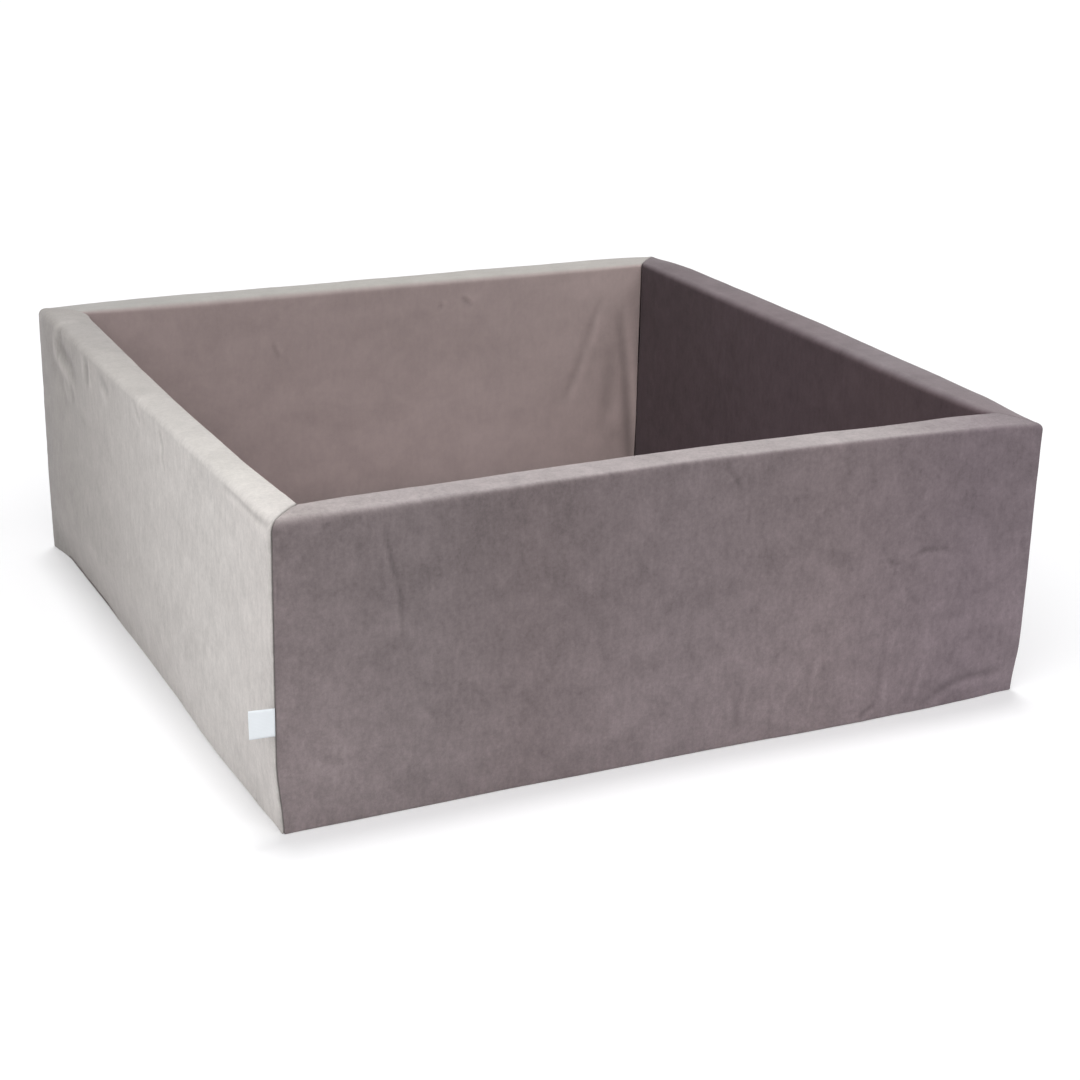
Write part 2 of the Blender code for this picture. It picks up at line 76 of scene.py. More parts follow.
# side, lean, first corner's radius and seam roll, last corner's radius and seam roll
WALLS = (
    ("front", 0.010, 0.005, 0.0028, 0.005, 0.0005),
    ("right", -0.003, 0.005, 0.0005, 0.006, 0.0011),
    ("back", 0.007, 0.006, 0.0011, 0.005, 0.0010),
    ("left", -0.003, 0.005, 0.0010, 0.005, 0.0032),
)

# Each wall's soft shape, as pairs of a share of its length and a distance. The ends of neighbours agree.
# foot: how far the outer cloth is drawn in at the floor, and reach how high up that goes
# out, inner: how far the rim's outer and inner edge stand out beyond the wall's bow
# drop: how far the rim's outer and inner edge sink; edge, fold: the radii of its outer and inner edge
SHAPES = {
    "front": {
        "foot": ((0.0, -0.001), (0.1, 0.001), (0.3, 0.003), (0.5, 0.003), (0.7, -0.001), (0.85, -0.001),
                 (0.93, 0.003), (0.98, 0.008), (1.0, 0.006)),
        "reach": 0.08,
        "out": ((0.0, 0.0), (1.0, 0.0)),
        "inner": ((0.0, 0.0), (1.0, 0.0)),
        "drop": (((0.0, 0.003), (0.3, 0.001), (0.5, 0.0), (0.8, 0.001), (0.95, 0.005), (1.0, 0.010)),
                 ((0.0, 0.003), (0.1, 0.001), (0.5, 0.0), (0.8, 0.0), (0.9, -0.001), (1.0, 0.0))),
        "edge": ((0.0, 0.017), (0.05, 0.013), (0.17, 0.010), (0.45, 0.0065), (0.85, 0.0065), (1.0, 0.008)),
        "fold": ((0.0, 0.006), (0.5, 0.005), (0.9, 0.005), (1.0, 0.009)),
    },
    "right": {
        "foot": ((0.0, 0.004), (0.05, 0.006), (0.3, 0.004), (0.7, 0.004), (1.0, 0.002)),
        "reach": 0.11,
        "out": ((0.0, 0.0), (0.15, 0.002), (0.6, 0.004), (0.8, 0.006), (0.92, 0.007), (0.985, 0.001),
                (1.0, 0.0)),
        "inner": ((0.0, 0.0), (0.04, 0.003), (0.1, 0.005), (0.3, 0.006), (0.6, 0.006), (0.85, 0.001),
                  (1.0, 0.0)),
        "drop": (((0.0, 0.0105), (0.03, 0.0105), (0.06, 0.0092), (0.11, 0.0055), (0.2, 0.003), (0.5, 0.0),
                  (0.87, 0.0), (0.95, 0.004), (1.0, 0.007)),
                 ((0.0, 0.0), (0.2, 0.002), (0.6, 0.002), (1.0, 0.005))),
        "edge": ((0.0, 0.008), (0.5, 0.010), (1.0, 0.011)),
        "fold": ((0.0, 0.009), (0.2, 0.012), (0.6, 0.011), (0.85, 0.009), (1.0, 0.007)),
    },
    "back": {
        "foot": ((0.0, 0.002), (0.5, 0.003), (1.0, 0.002)),
        "reach": 0.08,
        "out": ((0.0, 0.0), (1.0, 0.0)),
        "inner": ((0.0, 0.0), (0.1, 0.0), (0.5, 0.001), (1.0, 0.0)),
        "drop": (((0.0, 0.006), (0.07, 0.002), (0.3, 0.001), (0.6, 0.002), (0.8, 0.001), (0.93, 0.003),
                  (1.0, 0.006)),
                 ((0.0, 0.005), (0.5, 0.001), (1.0, 0.004))),
        "edge": ((0.0, 0.011), (0.5, 0.010), (1.0, 0.012)),
        "fold": ((0.0, 0.007), (0.15, 0.010), (0.8, 0.012), (1.0, 0.007)),
    },
    "left": {
        "foot": ((0.0, 0.0005), (0.03, 0.0085), (0.07, 0.0133), (0.2, 0.0135), (0.32, 0.0122), (0.45, 0.012),
                 (0.6, 0.009), (0.78, 0.005), (0.93, 0.006), (0.98, 0.009), (1.0, 0.007)),
        "reach": 0.10,
        "out": ((0.0, 0.0005), (0.03, 0.003), (0.12, 0.002), (0.5, 0.0), (1.0, 0.0)),
        "inner": ((0.0, 0.0), (0.04, 0.009), (0.1, 0.005), (0.3, 0.0), (0.55, -0.006), (0.8, -0.006),
                  (0.93, 0.0), (1.0, 0.0)),
        "drop": (((0.0, 0.006), (0.05, 0.003), (0.3, 0.001), (0.5, 0.0), (0.8, 0.001), (1.0, 0.003)),
                 ((0.0, 0.004), (0.3, 0.001), (0.5, 0.0), (0.8, 0.001), (1.0, 0.003))),
        "edge": ((0.0, 0.012), (0.3, 0.009), (0.8, 0.010), (0.95, 0.013), (1.0, 0.017)),
        "fold": ((0.0, 0.007), (0.1, 0.006), (1.0, 0.006)),
    },
}


def srgb(text):
    """A linear colour from one written as six hexadecimal digits."""
    parts = [int(text[i:i + 2], 16) / 255 for i in (0, 2, 4)]
    return tuple(p / 12.92 if p <= 0.04045 else ((p + 0.055) / 1.055) ** 2.4 for p in parts) + (1.0,)


# Materials

class Graph:
    """A material's nodes, made one call each."""

    def __init__(self, name):
        self.material = bpy.data.materials.new(name)
        self.material.use_nodes = True
        self.tree = self.material.node_tree
        self.shader = self.tree.nodes["Principled BSDF"]
        self.out = self.tree.nodes["Material Output"]

    def add(self, kind, inputs=None, **settings):
        node = self.tree.nodes.new("ShaderNode" + kind)
        for key, value in settings.items():
            setattr(node, key, value)
        for key, value in (inputs or {}).items():
            self.set(node.inputs[key], value)
        return node

    def set(self, socket, value):
        if isinstance(value, bpy.types.NodeSocket):
            self.tree.links.new(value, socket)
        else:
            socket.default_value = value

    def math(self, operation, a, b=0.0, c=0.0):
        return self.add("Math", {0: a, 1: b, 2: c}, operation=operation).outputs[0]

    def span(self, value, low, high, to_low, to_high):
        """A smooth way from to_low to to_high, as the value goes from low to high."""
        ins = {"Value": value, "From Min": low, "From Max": high, "To Min": to_low, "To Max": to_high}
        return self.add("MapRange", ins, interpolation_type="SMOOTHSTEP").outputs[0]

    def ramp(self, factor, stops):
        node = self.add("ValToRGB", {"Fac": factor})
        marks = node.color_ramp.elements
        while len(marks) < len(stops):
            marks.new(1.0)
        for mark, (place, colour) in zip(marks, stops):
            mark.position = place
            mark.color = srgb(colour)
        return node.outputs["Color"]

    def mix(self, factor, a, b):
        ins = {"Factor": factor, 6: a, 7: b}
        return self.add("Mix", ins, data_type="RGBA").outputs[2]

    def noise(self, vector, scale, detail=2.0, roughness=0.5, distortion=0.0):
        ins = {"Vector": vector, "Scale": scale, "Detail": detail, "Roughness": roughness,
               "Distortion": distortion}
        return self.add("TexNoise", ins).outputs["Fac"]

    def waves(self, inputs, direction):
        return self.add("TexWave", inputs, bands_direction=direction).outputs["Fac"]

    def relief(self, height, strength, distance):
        """Bumps the shader's surface by a height from 0 to 1, over a distance in metres."""
        bump = self.add("Bump", {"Height": height, "Strength": strength, "Distance": distance})
        self.set(self.shader.inputs["Normal"], bump.outputs[0])

    def stretched(self, vector, scale):
        return self.add("Mapping", {"Vector": vector, "Scale": scale}).outputs[0]

    def scaled(self, colour, factor):
        return self.add("VectorMath", {0: colour, "Scale": factor}, operation="SCALE").outputs[0]

    def values(self, **values):
        """Plain values on the shader's own sockets."""
        for key, value in values.items():
            self.shader.inputs[key.replace("_", " ")].default_value = value


def velvet(name, outer, rim=None, inner=None, ends=(1.0, 1.0), marks=(0.40, 0.35, 0.30, 0.35), seam=0.5):
    """Short-pile velvet. outer, rim and inner are stops along the wall, painted sheen and shade: the tone
    its nap takes under the light, changing wall by wall and along each wall, the rims mostly lighter.

    ends is the outer face's brightness at the floor and at the rim. marks is how strong its clouds, its
    smaller patches, its streaks across the strip and its grain are, and seam how dark a corner seam is: its
    dark stitch line and the painted shade in its rolled groove.
    """
    g = Graph(name)
    place = g.add("TexCoord").outputs["Object"]
    share = g.add("Attribute", attribute_name="along").outputs["Fac"]
    top = g.add("Attribute", attribute_name="rim").outputs["Fac"]
    # The tone stops are painted sheen and shade of the nap, on the outer face, the rim and the inner face
    colour = g.ramp(share, outer)
    if rim:
        up = g.add("SeparateXYZ", {0: place}).outputs["Z"]
        colour = g.scaled(colour, g.span(up, 0.0, HEIGHT, *ends))
        inside = g.add("Attribute", attribute_name="inside").outputs["Fac"]
        colour = g.mix(inside, colour, g.ramp(share, inner))
        colour = g.mix(top, colour, g.ramp(share, rim))
    strip = g.add("Attribute", attribute_name="strip").outputs["Vector"]
    stitch_and_shade = g.add("Attribute", attribute_name="seam").outputs["Fac"]
    crease_shade = g.add("Attribute", attribute_name="crease_shade").outputs["Fac"]
    flattened = g.stretched(place, (1.0, 1.0, 1.4))
    clouds = g.noise(flattened, scale=7.5, detail=5.0, roughness=0.62, distortion=0.6)
    patches = g.noise(place, scale=26.0, detail=5.0, roughness=0.65, distortion=0.3)
    streaks = g.noise(g.stretched(strip, (1.0, 0.3, 1.0)), scale=110.0, detail=4.0, roughness=0.7)
    grain = g.noise(place, scale=190.0, detail=4.0, roughness=0.85)
    cloudy, patchy, streaky, grainy = marks
    tone = g.math("MULTIPLY_ADD", clouds, cloudy, 1.0 - cloudy / 2)
    ribbed = g.math("MULTIPLY_ADD", top, -0.7 * streaky, streaky)
    for part, strength in ((patches, patchy), (streaks, ribbed), (grain, grainy)):
        tone = g.math("ADD", tone, g.math("MULTIPLY", g.math("SUBTRACT", part, 0.5), strength))
    # Darkens along a seam: its dark stitch line and painted shade in its rolled groove, less on the rim
    stitch_and_shade = g.math("MULTIPLY", stitch_and_shade, g.math("MULTIPLY_ADD", top, 0.6 * seam, -seam))
    tone = g.math("MULTIPLY", tone, g.math("ADD", stitch_and_shade, 1.0))
    # Painted shade in wrinkle valleys and painted highlight on the ridges beside them
    tone = g.math("MULTIPLY", tone, g.math("MULTIPLY_ADD", crease_shade, -0.24, 1.0))
    g.set(g.shader.inputs["Base Color"], g.scaled(colour, tone))
    g.values(Roughness=0.92, Specular_IOR_Level=0.12, Sheen_Weight=0.35, Sheen_Roughness=0.38)
    g.shader.inputs["Sheen Tint"].default_value = srgb("f2e9ea")
    pile = g.noise(place, scale=1500.0, roughness=0.7)
    ribs = g.math("MULTIPLY", streaks, g.math("MULTIPLY_ADD", top, -0.3, 0.4))
    height = g.math("MULTIPLY_ADD", patches, 0.6, g.math("MULTIPLY_ADD", pile, 0.35, ribs))
    g.relief(height, strength=0.4, distance=0.0010)
    return g.material


def woven(name, colour, ribs):
    """A plain woven cloth: ribs across and along, slightly uneven in tone."""
    dark = 0.75             # tone between the ribs
    g = Graph(name)
    place = g.add("TexCoord").outputs["Object"]
    rough = g.noise(place, scale=60.0, detail=3.0)
    inputs = {"Vector": place, "Scale": ribs, "Distortion": 0.4}
    weave = g.math("MULTIPLY", g.waves(inputs, "X"), g.waves(inputs, "Y"))
    tone = g.math("MULTIPLY_ADD", weave, 1.0 - dark, g.math("MULTIPLY_ADD", rough, 0.2, dark - 0.1))
    g.set(g.shader.inputs["Base Color"], g.scaled(srgb(colour)[:3], tone))
    g.values(Roughness=0.85, Specular_IOR_Level=0.25, Sheen_Weight=0.1)
    g.relief(weave, strength=0.4, distance=0.0002)
    return g.material


def satin():
    g = Graph("tag_satin")
    place = g.add("TexCoord").outputs["Object"]
    ribs = g.waves({"Vector": place, "Scale": 180.0, "Distortion": 1.0, "Detail": 2.0}, "Z")
    cloud = g.noise(place, scale=70.0)
    tone = g.math("MULTIPLY_ADD", ribs, 0.05, g.math("MULTIPLY_ADD", cloud, 0.06, 0.91))
    g.set(g.shader.inputs["Base Color"], g.scaled(srgb("e6ebef")[:3], tone))
    g.values(Roughness=0.36, Specular_IOR_Level=0.5, Sheen_Weight=0.15)
    g.relief(ribs, strength=0.25, distance=0.0001)
    return g.material


def metal():
    g = Graph("zip_metal_worn")
    place = g.add("TexCoord").outputs["Object"]
    scuffs = g.noise(place, scale=900.0, detail=4.0, roughness=0.7)
    g.set(g.shader.inputs["Base Color"], g.ramp(scuffs, ((0.3, "8d8d90"), (0.7, "c4c4c6"))))
    g.set(g.shader.inputs["Roughness"], g.span(scuffs, 0.3, 0.7, 0.24, 0.42))
    g.values(Metallic=1.0)
    g.relief(scuffs, strength=0.15, distance=0.0001)
    return g.material


def nylon():
    g = Graph("zip_coil_nylon")
    place = g.add("TexCoord").outputs["Object"]
    spots = g.noise(place, scale=500.0)
    g.set(g.shader.inputs["Base Color"], g.ramp(spots, ((0.3, "6a5f61"), (0.7, "7b7072"))))
    g.values(Roughness=0.42, Specular_IOR_Level=0.4)
    return g.material


# For each wall: stops along its outer face, its rim and its inner face, then the marks on its pile.
# The stops are painted sheen and shade of one velvet, lighter or darker wall by wall as its nap catches
# the light; the rims are painted lighter, and the back's inner face lighter against the pit's shade.
VELVET = {
    "front": velvet(
        "velvet_front",
        ((0.0, "857a7b"), (0.17, "7e7475"), (0.3, "7a6f70"), (0.5, "7f7476"),
         (0.7, "817577"), (0.9, "7b6f74"), (1.0, "7d7176")),
        ((0.0, "b4aba9"), (0.15, "ada4a4"), (0.5, "b0a7a7"), (0.75, "aca4a4"),
         (0.83, "a39a9b"), (0.92, "92888b"), (1.0, "898083")),
        ((0.0, "8a7f7e"), (1.0, "8a7f7e")),
        ends=(1.07, 0.86), marks=(0.40, 0.60, 0.45, 0.75), seam=0.45),
    "right": velvet(
        "velvet_right",
        ((0.0, "7d7176"), (1.0, "867a7c")),
        ((0.0, "807578"), (0.3, "847b7e"), (0.55, "7c7174"), (0.75, "776d70"),
         (0.88, "71676a"), (1.0, "756c6f")),
        ((0.0, "68585d"), (0.25, "635458"), (0.5, "5c4e53"), (0.8, "514448"),
         (1.0, "4e4246")),
        marks=(0.40, 0.50, 0.40, 0.35)),
    "back": velvet(
        "velvet_back",
        ((0.0, "8e8381"), (1.0, "8a7f7f")),
        ((0.0, "b0aca8"), (0.5, "b2afaa"), (1.0, "a6a4a1")),
        ((0.0, "bdadaa"), (0.06, "bbaaa7"), (0.3, "b4a4a2"), (1.0, "ac9c9a")),
        marks=(0.35, 0.20, 0.15, 0.15), seam=0.35),
    "left": velvet(
        "velvet_left",
        ((0.0, "8f8c89"), (0.1, "95918d"), (0.3, "a9a5a1"), (0.55, "c0bcb8"),
         (0.8, "cfcbc7"), (1.0, "d3ceca")),
        ((0.0, "a09c98"), (0.15, "a9a5a2"), (0.4, "b7b3af"), (0.65, "c5c1bd"),
         (0.85, "d5d1cc"), (1.0, "dcd7d3")),
        ((0.0, "8f8685"), (1.0, "8a807f")),
        ends=(0.98, 1.04), marks=(0.28, 0.30, 0.45, 0.45), seam=0.62),
    "mat": velvet("velvet_mat", ((0.0, "85797a"), (1.0, "807476"))),
}
METAL = metal()
NYLON = nylon()
TAPE = woven("zip_tape_woven", "6d6163", ribs=90.0)
BEHIND_ZIP = woven("sleeve_behind_zip", "5a5052", ribs=75.0)
LINING_CLOTH = woven("mat_lining_cloth", "4f484a", ribs=60.0)
SATIN = satin()


# Mesh helpers

def add_piece(name, mesh, *materials):
    piece = bpy.data.objects.new(name, mesh)
    bpy.context.scene.collection.objects.link(piece)
    for material in materials:
        mesh.materials.append(material)
    return piece


def end_mesh(name, bm, sharp=40):
    """The mesh of what bm holds, smooth but for edges that turn by more than `sharp` degrees."""
    bmesh.ops.recalc_face_normals(bm, faces=bm.faces)
    mesh = bpy.data.meshes.new(name)
    bm.to_mesh(mesh)
    bm.free()
    mesh.shade_smooth()
    mesh.set_sharp_from_angle(angle=math.radians(sharp))
    return mesh


def lofted(name, grid, sharp=40):
    """A closed body from a grid of points: each row is a loop, and the first and last rows are capped."""
    bm = bmesh.new()
    rows = [[bm.verts.new(point) for point in row] for row in grid]
    for low, high in zip(rows, rows[1:]):
        for i in range(len(low)):
            k = (i + 1) % len(low)
            bm.faces.new((low[i], low[k], high[k], high[i]))
    bm.faces.new(rows[0])
    bm.faces.new(rows[-1])
    return end_mesh(name, bm, sharp)


def box_mesh(name, centre, size):
    bm = bmesh.new()
    bmesh.ops.create_cube(bm, size=1.0)
    bmesh.ops.transform(bm, matrix=Matrix.Translation(centre) @ Matrix.Diagonal((*size, 1)), verts=bm.verts)
    return end_mesh(name, bm)


def drop_flat_faces(mesh):
    """Takes out the faces without area, where the rows of a tucked end meet in one line."""
    bm = bmesh.new()
    bm.from_mesh(mesh)
    bmesh.ops.dissolve_degenerate(bm, dist=1e-6, edges=bm.edges)
    bm.to_mesh(mesh)
    bm.free()


def ripple(points, scale, shift):
    """Smooth noise from -1 to 1 at each point. scale is a number or one for each axis."""
    moved = points * np.asarray(scale) + shift
    return np.array([noise.noise(Vector(p)) for p in moved.reshape(-1, 3)]).reshape(points.shape[:-1])


def normals_of(grid):
    """Unit normals of a grid whose rows wrap round."""
    around = np.roll(grid, -1, axis=1) - np.roll(grid, 1, axis=1)
    along = np.gradient(grid, axis=0)
    cross = np.cross(around, along)
    return cross / np.maximum(np.linalg.norm(cross, axis=2, keepdims=True), 1e-12)


def smooth(value, low, high):
    """A smooth way from 0 to 1, as the value goes from low to high."""
    share = np.clip((value - low) / (high - low), 0.0, 1.0)
    return share * share * (3 - 2 * share)


def arc(centre, radii, start, end, steps):
    """Points on an ellipse, from one angle to another in degrees."""
    angles = np.radians(np.linspace(start, end, steps + 1))
    return [(centre[0] + radii[0] * math.cos(a), centre[1] + radii[1] * math.sin(a)) for a in angles]


# The walls

FACE_STEPS = 92             # up a wall's face
ARC_STEPS = 10              # round to its rim
TOP_STEPS = 9               # across the rim
HEM_SPOTS = (0.014, 0.0105)  # on the hem's underside
MIDDLE_STEPS = 240          # along a wall, between its ends


def half_section(radius):
    """Half of a wall's section, from the foam's underside round the hem and up to the rim: depth, height."""
    groove = (WALL - GROOVE) / 2
    middle = LIP - HEM / 2
    points = [(groove, GROOVE_TOP), (groove, FOAM_FLOOR), (TAPE_EDGE, FOAM_FLOOR), (TAPE_EDGE, HEM)]
    points += arc((middle, HEM / 2), (HEM / 2, HEM / 2), 90, -90, 6)
    points += [(depth, 0.0) for depth in HEM_SPOTS]
    points += arc((HEEL, HEEL), (HEEL, HEEL), 270, 180, 4)
    shoulder = HEIGHT - radius
    points += [(0.0, z) for z in np.linspace(HEEL, shoulder, FACE_STEPS)[1:-1]]
    points += arc((radius, shoulder), (radius, radius), 180, 90, ARC_STEPS)
    return np.array(points)


HALF_COUNT = len(half_section(HEEL))
HIDDEN = 4                  # points of the half section that lie over the zip, inside the sleeve
# Places of the cuts from a seam along the outer face, in millimetres
SEAM_SPOTS = (0, 0.35, 0.8, 1.35, 2.0, 2.8, 3.8, 5.0, 6.5, 8.5, 11, 14, 18, 23, 29, 36, 44, 53, 63, 74, 86)
TUCKS = (0.0034, 0.0022, 0.0010)  # how far a sewn edge turns in beyond its roll


def end_stations(half, radius):
    """Cuts through a wall's end from the seam inwards: outer point, inner point, outer normal."""
    turn = radius * math.pi / 4
    full = 2 * WALL - radius + turn
    cuts = []
    for spot in [s / 1000 for s in SEAM_SPOTS] + [full]:
        angle = max(math.pi / 4 - spot / radius, 0.0)
        normal = np.array((-math.sin(angle), -math.cos(angle)))
        outer = np.array((radius - half, radius)) + radius * normal
        outer[0] += max(spot - turn, 0.0)
        inner = np.array((WALL + WALL * spot / full - half, WALL))
        shift = SEAM_HALF * math.sqrt(2) * (1.0 - spot / full)
        cuts.append((outer + (shift, 0), inner + (shift, 0), normal))
    return cuts


def stations(half, first, last):
    """All the cuts through a wall, from its first seam to its last."""
    start = end_stations(half, first)
    end = [tuple(part * (-1, 1) for part in cut) for cut in end_stations(half, last)]
    straight = np.array((0.0, -1.0))
    inner = np.linspace(2 * WALL - half, half - 2 * WALL, MIDDLE_STEPS)[1:-1]
    middle = [(np.array((x, 0.0)), np.array((x, WALL)), straight) for x in inner]
    return start + middle + end[::-1]


def stops(share, table):
    """A value from a table of places and values, its kinks rounded off over `blur` to each side."""
    blur = 0.015
    places, values = zip(*table)
    spots = np.interp(share, places, values)
    near, far = np.interp(share - blur, places, values), np.interp(share + blur, places, values)
    return (2 * spots + near + far) / 4


SWELL_FROM = 0.15           # height from which a rim's edges stand out
NEIGHBOUR_PULL = 0.07       # how far along a wall its neighbour's drawn-in foot pulls it


def base_wall(quarter, side, half, lean, first, last):
    """A wall's plain surface, cuts by section points, and each point's distance from both seams."""
    shape = SHAPES[side]
    before, after = (SHAPES[WALLS[(quarter + step) % 4][0]] for step in (-1, 1))
    share = np.arange(1, TOP_STEPS) / TOP_STEPS
    grid, seams = [], []
    for outer, inner, normal in stations(half, first, last):
        length = np.linalg.norm(inner - outer)
        line = (inner - outer) / length
        spot = (outer[0] + half) / (2 * half)
        face, back = half_section(stops(spot, shape["edge"])), half_section(stops(spot, shape["fold"]))
        near = face[:, 0] / abs(line @ normal)
        far = length - back[:, 0] / abs(line[1])
        across = np.concatenate([near, near[-1] + (far[-1] - near[-1]) * share, far[::-1]])
        rise = np.concatenate([face[:, 1], HEIGHT + RIM_DOME * 4 * share * (1 - share), back[::-1, 1]])
        flat = outer + across[:, None] * line
        seams.append([(half + sign * flat[:, 0] - flat[:, 1]) / math.sqrt(2) - SEAM_HALF for sign in (1, -1)])
        reach = np.clip(np.abs(flat[:, 0]) / (half - WALL), 0.0, 1.0)
        lift = (rise / HEIGHT) ** 2
        flat[:, 1] += lean * (1 - reach ** 2) ** 2 * lift
        depth = across / length
        raised = smooth(rise, SWELL_FROM, HEIGHT)
        flat[:, 1] -= stops(spot, shape["out"]) * (1 - depth) * raised
        flat[:, 1] += stops(spot, shape["inner"]) * depth * raised
        low = np.clip(1 - across / (LIP - HEM), 0.0, 1.0)
        flat[:, 1] += stops(spot, shape["foot"]) * (1 - smooth(rise, 0.0, shape["reach"])) * low
        for sign, end, neighbour in ((1, 1.0, before), (-1, 0.0, after)):
            pull = stops(end, neighbour["foot"]) * (1 - smooth(rise, 0.0, neighbour["reach"])) * low
            flat[:, 0] += sign * pull * (1 - smooth(half + sign * outer[0], 0.0, NEIGHBOUR_PULL))
        outer_drop, inner_drop = (stops(spot, table) for table in shape["drop"])
        drop = (outer_drop * (1 - depth) + inner_drop * depth) * lift
        grid.append(np.column_stack((flat, rise - RIM_DOME - drop)))
    return np.array(grid), np.maximum(np.array(seams), 0.0).transpose(1, 0, 2)


def strip_path(grid):
    """How far round the strip each point of a section lies."""
    steps = np.linalg.norm(np.diff(grid[len(grid) // 2], axis=0), axis=1)
    return np.concatenate([[0.0], np.cumsum(steps)])


def zones(grid, half):
    """Where a wall's points lie, for its material: along it, inside, on the rim, and across the strip."""
    count = grid.shape[1]
    face_end = HALF_COUNT - ARC_STEPS - 1
    rim = np.zeros(count)
    climb = np.arange(ARC_STEPS + 1) / ARC_STEPS
    rim[face_end:HALF_COUNT] = smooth(climb, 0.25, 1.0)
    rim[HALF_COUNT:count - HALF_COUNT] = 1.0
    rim[count - HALF_COUNT:count - face_end] = smooth(climb, 0.05, 0.80)[::-1]
    inside = (np.arange(count) > count // 2).astype(float)
    shape = grid.shape[:2]
    along = (grid[..., 0] + half) / (2 * half)
    strip = np.stack((grid[..., 0], np.broadcast_to(strip_path(grid), shape), np.zeros(shape)), axis=-1)
    return along, np.broadcast_to(inside, shape), np.broadcast_to(rim, shape), strip


DARK_CREASE = 0.0014        # depth of a wrinkle whose painted shade changes the tone by one whole step


def creased(x, z, lines):
    """Wrinkles in a face: how deep each place lies, and how much painted shade (in a valley) or painted
    highlight (on a ridge) it gets.

    Beside each line runs its opposite, a lower ridge beside a valley. Both fade out towards the line's ends.
    """
    depths, valleys = np.zeros_like(x), np.zeros_like(x)
    for points, width, depth in lines:
        best = np.full_like(x, np.inf)  # distance from the line, the same with a sign, and place along it
        side = np.zeros_like(x)
        fade = np.zeros_like(x)
        spans = len(points) - 1
        for i, (a, b) in enumerate(zip(points, points[1:])):
            run = np.array(b) - np.array(a)
            t = np.clip(((x - a[0]) * run[0] + (z - a[1]) * run[1]) / (run @ run), 0, 1)
            dx, dz = x - a[0] - t * run[0], z - a[1] - t * run[1]
            away = np.hypot(dx, dz)
            closer = away < best
            best = np.where(closer, away, best)
            side = np.where(closer, np.sign(dx * run[1] - dz * run[0]) * away, side)
            share = (i + t) / spans
            fade = np.where(closer, 4 * share * (1 - share), fade)
        taper = np.sqrt(np.clip(fade, 0, 1))
        form = taper * (np.exp(-(best / width) ** 2) - 0.6 * np.exp(-((side - 1.9 * width) / width) ** 2))
        depths += depth * form
        valleys += np.clip(depth / DARK_CREASE, -0.5, 1.2) * form
    return depths, valleys


# Wrinkles in the outer and in the inner cloth: points along the wall and up it, width, and depth. One with a
# depth under zero stands out.
CREASES = {
    "front": (
        (((-0.409, 0.380), (-0.403, 0.345), (-0.390, 0.295), (-0.384, 0.235)), 0.0035, 0.0013),
        (((0.058, 0.392), (0.073, 0.372), (0.084, 0.352)), 0.0035, 0.0010),
        (((0.092, 0.394), (0.080, 0.372), (0.062, 0.362)), 0.0035, 0.0009),
        (((0.311, 0.236), (0.318, 0.226), (0.331, 0.220)), 0.0035, 0.0014),
        (((0.342, 0.230), (0.372, 0.238), (0.399, 0.236), (0.414, 0.228)), 0.0035, 0.0012),
        (((0.345, 0.190), (0.352, 0.172), (0.372, 0.160)), 0.004, 0.0009),
        (((-0.362, 0.150), (-0.349, 0.130), (-0.338, 0.114)), 0.0045, 0.0007),
        (((-0.294, 0.152), (-0.283, 0.138), (-0.272, 0.124)), 0.0045, 0.0007),
        (((-0.500, 0.100), (-0.482, 0.088), (-0.462, 0.080)), 0.006, 0.0010),
        (((0.217, 0.119), (0.207, 0.082), (0.199, 0.027)), 0.0050, -0.0014),
        (((0.334, 0.135), (0.326, 0.091), (0.320, 0.034), (0.316, 0.013)), 0.0050, -0.0015),
        (((0.384, 0.070), (0.377, 0.039), (0.370, 0.007)), 0.0042, -0.0015),
        (((0.100, 0.100), (0.098, 0.024)), 0.0050, -0.0011),
        (((0.152, 0.053), (0.147, 0.019)), 0.0042, -0.0011),
        (((0.152, 0.123), (0.149, 0.096)), 0.0042, -0.0009),
        (((0.456, 0.066), (0.453, 0.042)), 0.0040, -0.0011),
        (((0.280, 0.008), (0.307, 0.022)), 0.0040, 0.0013),
        (((0.388, 0.012), (0.417, 0.026), (0.453, 0.037), (0.490, 0.037), (0.519, 0.038)), 0.0060, 0.0015),
        (((-0.536, 0.384), (-0.534, 0.366), (-0.536, 0.348)), 0.0030, 0.0006),
        (((-0.541, 0.336), (-0.5415, 0.318), (-0.542, 0.296)), 0.0020, 0.0009),
        (((-0.546, 0.392), (-0.541, 0.380)), 0.0020, 0.0010),
    ),
    "right": (),
    "back": (),
    "left": (
        (((-0.396, 0.394), (-0.408, 0.372), (-0.378, 0.362), (-0.345, 0.357), (-0.312, 0.340)),
         0.013, 0.0021),
        (((-0.436, 0.384), (-0.440, 0.354), (-0.405, 0.342), (-0.356, 0.336)), 0.011, -0.0015),
        (((-0.396, 0.322), (-0.372, 0.298)), 0.010, -0.0013),
        (((-0.352, 0.330), (-0.340, 0.300)), 0.010, 0.0010),
        (((-0.252, 0.394), (-0.250, 0.374), (-0.254, 0.350)), 0.009, 0.0014),
        (((-0.228, 0.392), (-0.229, 0.372), (-0.235, 0.346)), 0.008, -0.0011),
        (((-0.178, 0.386), (-0.150, 0.378), (-0.130, 0.366)), 0.009, 0.0011),
        (((0.118, 0.386), (0.130, 0.368), (0.126, 0.350), (0.136, 0.332)), 0.004, 0.0012),
        (((0.000, 0.396), (0.014, 0.380), (0.028, 0.372)), 0.004, 0.0010),
        (((0.370, 0.390), (0.430, 0.389), (0.490, 0.389), (0.545, 0.393)), 0.0040, 0.0010),
        (((0.488, 0.388), (0.516, 0.387), (0.540, 0.388)), 0.0050, 0.0009),
    ),
}
